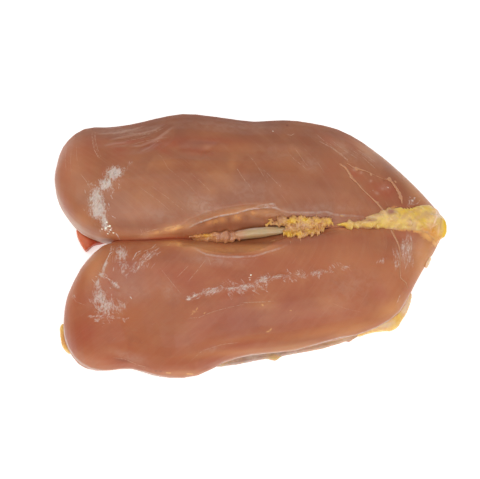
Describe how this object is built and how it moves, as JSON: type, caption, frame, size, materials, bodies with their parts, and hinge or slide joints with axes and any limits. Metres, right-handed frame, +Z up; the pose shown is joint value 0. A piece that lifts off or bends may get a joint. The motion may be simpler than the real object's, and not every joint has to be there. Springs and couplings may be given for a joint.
{
  "type": "raw chicken breast",
  "caption": "Raw skinless whole chicken breast: smooth tapering lobes side by side, with bare keel cartilage and yellow fat in the seam and over the tail tip.",
  "frame": {"origin": "on the surface it lies on, under the middle of its length and width", "axes": "+X along the keel from the shoulder ends to the pointed tail end, +Y towards the far lobe, +Z up out of the outer side"},
  "size_m": [0.1879, 0.1298, 0.033],
  "materials": {
    "meat": "gloss",
    "red_meat": "gloss",
    "film": "gloss",
    "cartilage": "gloss",
    "keel_tissue": "satin",
    "keel_fat": "satin",
    "tail_fat": "satin",
    "tendon": "satin",
    "edge_fat": "satin"
  },
  "bodies": {
    "root": {"lobe_far": "meat", "lobe_near": "meat", "keel_cartilage": "cartilage", "keel_strand": "keel_tissue", "keel_fat": "keel_fat", "tail_fat": "tail_fat", "tendon_long": "tendon", "tendon_short": "tendon", "tendon_near": "tendon", "meat_flap": "red_meat", "shoulder_fat": "edge_fat", "under_layer": "film", "flank_fat": "edge_fat", "side_fat": "edge_fat"}
  },
  "joints": []
}
